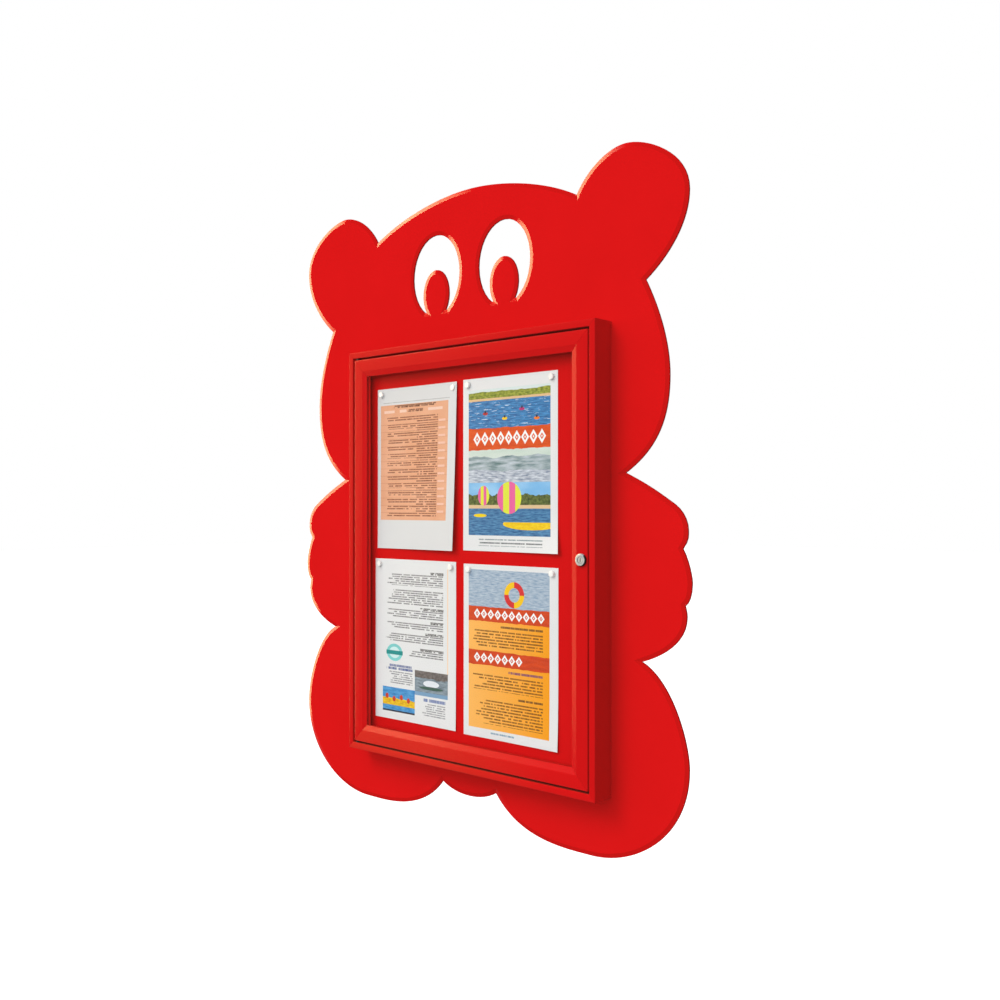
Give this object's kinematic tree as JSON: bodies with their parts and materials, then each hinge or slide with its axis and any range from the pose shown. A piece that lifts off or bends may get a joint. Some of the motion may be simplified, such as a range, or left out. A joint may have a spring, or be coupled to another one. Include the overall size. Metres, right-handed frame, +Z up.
{
  "type": "outdoor display case",
  "caption": "Shallow lockable notice case with a side-hinged glazed door and magnetic back sheet, on a bear-shaped wall panel with cut-out eyes.",
  "frame": {"origin": "on the panel's line of symmetry, at its back face (the wall), at the middle height of the case", "axes": "+Z up, +Y into the wall, so the front faces -Y, +X to the right as seen from the front"},
  "size_m": [0.908, 0.0506, 1.1251],
  "materials": {
    "red_paint": "satin red powder coat",
    "plain_aluminium": "mill finish",
    "zinc_steel": "bright zinc plate",
    "chrome": "polished chrome plate",
    "black_rubber": "matt closed-cell foam rubber",
    "black_nylon": "moulded black nylon",
    "white_plastic": "gloss white plastic cap over a magnet",
    "clear_sheet": "clear 4 mm pane",
    "white_paper": "printed or laminated A4 sheet"
  },
  "bodies": {
    "case": {"back_sheet": "red_paint", "bear_panel": "red_paint", "case_bar_bottom": "red_paint", "case_bar_left": "red_paint", "case_bar_right": "red_paint", "case_bar_top": "red_paint", "case_cleat_lower_left": "plain_aluminium", "case_cleat_lower_right": "plain_aluminium", "case_cleat_upper_left": "plain_aluminium", "case_cleat_upper_right": "plain_aluminium", "magnet_lower_left_left": "white_plastic", "magnet_lower_left_right": "white_plastic", "magnet_lower_right_left": "white_plastic", "magnet_lower_right_right": "white_plastic", "magnet_upper_left_left": "white_plastic", "magnet_upper_left_right": "white_plastic", "magnet_upper_right_left": "white_plastic", "magnet_upper_right_right": "white_plastic", "notice_lower_left": "white_paper", "notice_lower_right": "white_paper", "notice_upper_left": "white_paper", "notice_upper_right": "white_paper", "panel_screw_1": "zinc_steel", "panel_screw_2": "zinc_steel", "panel_screw_3": "zinc_steel", "panel_screw_4": "zinc_steel", "panel_screw_5": "zinc_steel", "panel_screw_6": "zinc_steel", "pivot_bush_lower": "black_nylon", "pivot_bush_upper": "black_nylon", "wall_sleeve_1": "plain_aluminium", "wall_sleeve_2": "plain_aluminium", "wall_sleeve_3": "plain_aluminium", "wall_sleeve_4": "plain_aluminium"},
    "door": {"door_bar_bottom": "red_paint", "door_bar_left": "red_paint", "door_bar_right": "red_paint", "door_bar_top": "red_paint", "door_cleat_lower_left": "plain_aluminium", "door_cleat_lower_right": "plain_aluminium", "door_cleat_upper_left": "plain_aluminium", "door_cleat_upper_right": "plain_aluminium", "door_pane": "clear_sheet", "door_seal_bottom": "black_rubber", "door_seal_left": "black_rubber", "door_seal_right_lower": "black_rubber", "door_seal_right_upper": "black_rubber", "door_seal_top": "black_rubber", "glazing_bead_bottom": "red_paint", "glazing_bead_left": "red_paint", "glazing_bead_right": "red_paint", "glazing_bead_top": "red_paint", "pivot_pin_lower": "zinc_steel", "pivot_pin_upper": "zinc_steel", "lock_housing": "chrome", "lock_nut": "zinc_steel"},
    "lock_core": {"lock_plug": "chrome", "lock_cam": "zinc_steel", "cam_screw": "zinc_steel"}
  },
  "joints": [
    {"name": "door_swing", "type": "hinge", "parent": "case", "child": "door", "pos_m": [-0.2507, -0.0403, 0], "axis": [0, 0, -1], "range_deg": [0, 105]},
    {"name": "lock_turn", "type": "hinge", "parent": "door", "child": "lock_core", "pos_m": [0.2818, -0.0463, 0], "axis": [0, 1, 0], "range_deg": [0, 90]}
  ]
}
